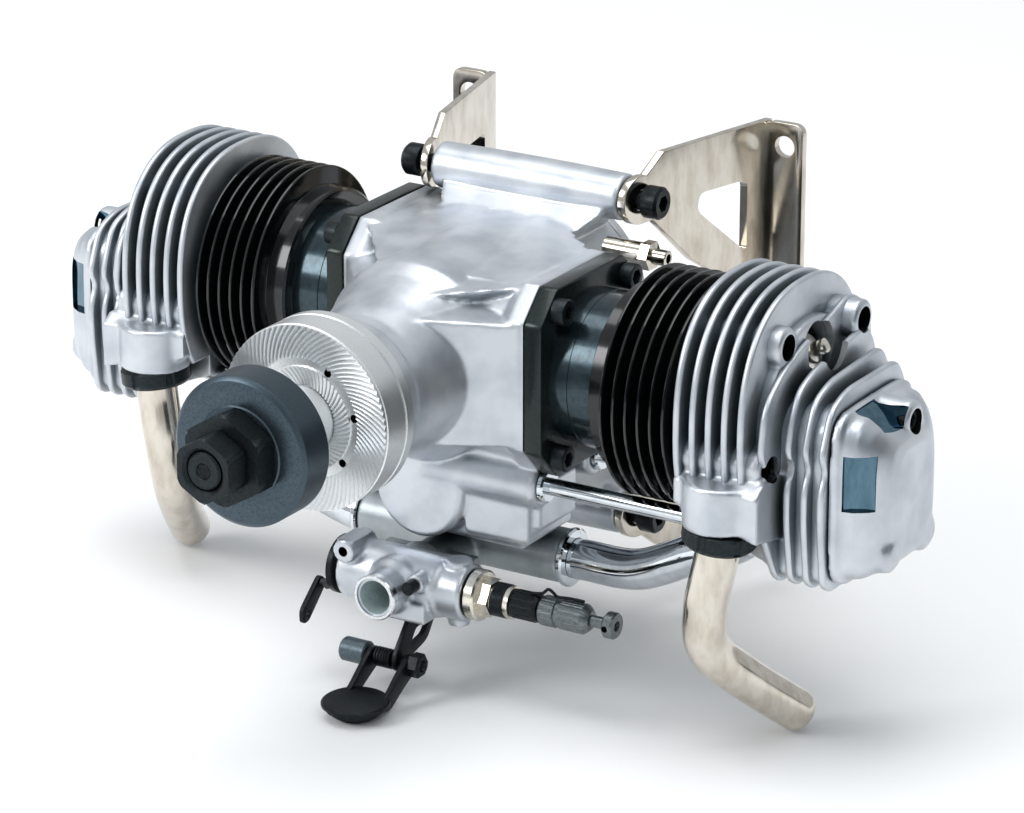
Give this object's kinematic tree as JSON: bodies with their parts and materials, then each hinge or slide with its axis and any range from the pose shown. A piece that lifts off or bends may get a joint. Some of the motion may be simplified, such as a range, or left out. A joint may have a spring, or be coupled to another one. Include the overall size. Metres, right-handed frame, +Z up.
{
  "type": "model glow engine",
  "caption": "Flat-twin four-stroke glow engine for a model aircraft: finned cylinders, rocker covers, bent exhausts, underslung carburettor and two steel firewall brackets.",
  "frame": {"origin": "on the crankshaft axis, in the plane of the firewall that the rear faces of both brackets touch", "axes": "+Y from the propeller back into the firewall, along the crankshaft; +X towards the right cylinder as seen from the front view; +Z up"},
  "size_m": [0.214, 0.1626, 0.1042],
  "materials": {
    "cast_aluminium": "bead-blasted casting",
    "machined_aluminium": "turned and knurled",
    "black_cylinder": "gloss black on steel fins",
    "blued_steel": "blued steel",
    "steel": "ground steel",
    "nickel_plate": "bright nickel plate",
    "chrome": "polished chrome",
    "black_oxide": "black oxide",
    "brass": "nickel-washed brass"
  },
  "bodies": {
    "case": {"crankcase": "cast_aluminium", "rear_cover": "cast_aluminium", "front_bearing": "steel", "rear_bearing": "steel", "cylinder_right": "black_cylinder", "cylinder_left": "black_cylinder", "head_right": "cast_aluminium", "head_left": "cast_aluminium", "glow_plug_right": "nickel_plate", "glow_plug_left": "nickel_plate", "rocker_cover_right": "cast_aluminium", "rocker_cover_left": "cast_aluminium", "pushrod_tube_right_front": "chrome", "pushrod_tube_right_rear": "chrome", "pushrod_tube_left_front": "chrome", "pushrod_tube_left_rear": "chrome", "exhaust_pipe_right": "nickel_plate", "exhaust_pipe_left": "nickel_plate", "exhaust_nut_right": "black_oxide", "exhaust_nut_left": "black_oxide", "mount_bracket_right": "nickel_plate", "mount_bracket_left": "nickel_plate", "mount_screw_upper_right": "black_oxide", "mount_screw_upper_left": "black_oxide", "intake_manifold": "cast_aluminium", "intake_pipe_right": "chrome", "intake_pipe_left": "chrome", "carburettor_body": "cast_aluminium", "needle_holder": "brass"},
    "crank": {"crankshaft": "steel", "crank_web_middle": "steel", "crank_web_rear": "steel", "drive_hub": "machined_aluminium", "prop_washer": "blued_steel", "prop_nut": "blued_steel", "lock_nut": "blued_steel"},
    "crank_pin_right": {"crank_pin_right": "steel"},
    "piston_right": {"connecting_rod_right": "steel", "wrist_pin_right": "steel", "piston_right": "machined_aluminium"},
    "crank_pin_left": {"crank_pin_left": "steel"},
    "piston_left": {"connecting_rod_left": "steel", "wrist_pin_left": "steel", "piston_left": "machined_aluminium"},
    "camshaft": {"camshaft": "steel"},
    "pushrod_right_front": {"pushrod_right_front": "steel"},
    "rocker_right_front": {"rocker_right_front": "steel"},
    "valve_right_front": {"valve_right_front": "steel"},
    "pushrod_right_rear": {"pushrod_right_rear": "steel"},
    "rocker_right_rear": {"rocker_right_rear": "steel"},
    "valve_right_rear": {"valve_right_rear": "steel"},
    "pushrod_left_front": {"pushrod_left_front": "steel"},
    "rocker_left_front": {"rocker_left_front": "steel"},
    "valve_left_front": {"valve_left_front": "steel"},
    "pushrod_left_rear": {"pushrod_left_rear": "steel"},
    "rocker_left_rear": {"rocker_left_rear": "steel"},
    "valve_left_rear": {"valve_left_rear": "steel"},
    "throttle": {"throttle_barrel": "black_oxide"},
    "choke": {"choke_flap": "black_oxide"},
    "needle": {"needle_valve": "steel"}
  },
  "joints": [
    {"name": "crank_spin", "type": "hinge", "parent": "case", "child": "crank", "pos_m": [0, -0.0705, 0], "axis": [0, 1, 0], "continuous": true},
    {"name": "crank_pin_spin_right", "type": "hinge", "parent": "crank", "child": "crank_pin_right", "pos_m": [0.0055, -0.0705, 0], "axis": [0, 1, 0], "continuous": true},
    {"name": "piston_travel_right", "type": "hinge", "parent": "crank_pin_right", "child": "piston_right", "pos_m": [0.011, -0.0705, 0], "axis": [0, 1, 0], "continuous": true},
    {"name": "crank_pin_spin_left", "type": "hinge", "parent": "crank", "child": "crank_pin_left", "pos_m": [-0.0055, -0.051, 0], "axis": [0, 1, 0], "continuous": true},
    {"name": "piston_travel_left", "type": "hinge", "parent": "crank_pin_left", "child": "piston_left", "pos_m": [-0.011, -0.051, 0], "axis": [0, 1, 0], "continuous": true},
    {"name": "camshaft_spin", "type": "hinge", "parent": "case", "child": "camshaft", "pos_m": [0, -0.031, -0.0235], "axis": [0, 1, 0], "continuous": true},
    {"name": "pushrod_lift_right_front", "type": "slide", "parent": "case", "child": "pushrod_right_front", "axis": [1, 0, 0], "range_m": [0, 0.0025], "stiffness_N_per_m": 200},
    {"name": "rocker_tilt_right_front", "type": "hinge", "parent": "case", "child": "rocker_right_front", "pos_m": [0.087, -0.0705, -0.013], "axis": [0, -1, 0], "range_deg": [0, 14]},
    {"name": "valve_open_right_front", "type": "slide", "parent": "case", "child": "valve_right_front", "axis": [-1, 0, 0], "range_m": [0, 0.0027]},
    {"name": "pushrod_lift_right_rear", "type": "slide", "parent": "case", "child": "pushrod_right_rear", "axis": [1, 0, 0], "range_m": [0, 0.0025], "stiffness_N_per_m": 200},
    {"name": "rocker_tilt_right_rear", "type": "hinge", "parent": "case", "child": "rocker_right_rear", "pos_m": [0.087, -0.0705, -0.013], "axis": [0, -1, 0], "range_deg": [0, 14]},
    {"name": "valve_open_right_rear", "type": "slide", "parent": "case", "child": "valve_right_rear", "axis": [-1, 0, 0], "range_m": [0, 0.0027]},
    {"name": "pushrod_lift_left_front", "type": "slide", "parent": "case", "child": "pushrod_left_front", "axis": [-1, 0, 0], "range_m": [0, 0.0025], "stiffness_N_per_m": 200},
    {"name": "rocker_tilt_left_front", "type": "hinge", "parent": "case", "child": "rocker_left_front", "pos_m": [-0.087, -0.051, -0.013], "axis": [0, 1, 0], "range_deg": [0, 14]},
    {"name": "valve_open_left_front", "type": "slide", "parent": "case", "child": "valve_left_front", "axis": [1, 0, 0], "range_m": [0, 0.0027]},
    {"name": "pushrod_lift_left_rear", "type": "slide", "parent": "case", "child": "pushrod_left_rear", "axis": [-1, 0, 0], "range_m": [0, 0.0025], "stiffness_N_per_m": 200},
    {"name": "rocker_tilt_left_rear", "type": "hinge", "parent": "case", "child": "rocker_left_rear", "pos_m": [-0.087, -0.051, -0.013], "axis": [0, 1, 0], "range_deg": [0, 14]},
    {"name": "valve_open_left_rear", "type": "slide", "parent": "case", "child": "valve_left_rear", "axis": [1, 0, 0], "range_m": [0, 0.0027]},
    {"name": "throttle_turn", "type": "hinge", "parent": "case", "child": "throttle", "pos_m": [-0.0144, -0.09, -0.047], "axis": [1, 0, 0], "range_deg": [0, 75]},
    {"name": "choke_swing", "type": "hinge", "parent": "case", "child": "choke", "pos_m": [0.0031, -0.099, -0.0617], "axis": [-1, 0, 0], "range_deg": [0, 90]},
    {"name": "needle_turn", "type": "hinge", "parent": "case", "child": "needle", "pos_m": [0.033, -0.09, -0.047], "axis": [1, 0, 0], "range_deg": [-720, 720]}
  ],
  "couplings": [
    {"joint": "crank_pin_spin_right", "follows": "crank_spin", "ratio": -2},
    {"joint": "piston_travel_right", "follows": "crank_spin", "ratio": 1},
    {"joint": "crank_pin_spin_left", "follows": "crank_spin", "ratio": -2},
    {"joint": "piston_travel_left", "follows": "crank_spin", "ratio": 1},
    {"joint": "camshaft_spin", "follows": "crank_spin", "ratio": -0.5},
    {"joint": "rocker_tilt_right_front", "follows": "pushrod_lift_right_front", "rad_per_m": 95.238},
    {"joint": "valve_open_right_front", "follows": "pushrod_lift_right_front", "ratio": 1.0476},
    {"joint": "rocker_tilt_right_rear", "follows": "pushrod_lift_right_rear", "rad_per_m": 95.238},
    {"joint": "valve_open_right_rear", "follows": "pushrod_lift_right_rear", "ratio": 1.0476},
    {"joint": "rocker_tilt_left_front", "follows": "pushrod_lift_left_front", "rad_per_m": 95.238},
    {"joint": "valve_open_left_front", "follows": "pushrod_lift_left_front", "ratio": 1.0476},
    {"joint": "rocker_tilt_left_rear", "follows": "pushrod_lift_left_rear", "rad_per_m": 95.238},
    {"joint": "valve_open_left_rear", "follows": "pushrod_lift_left_rear", "ratio": 1.0476}
  ]
}
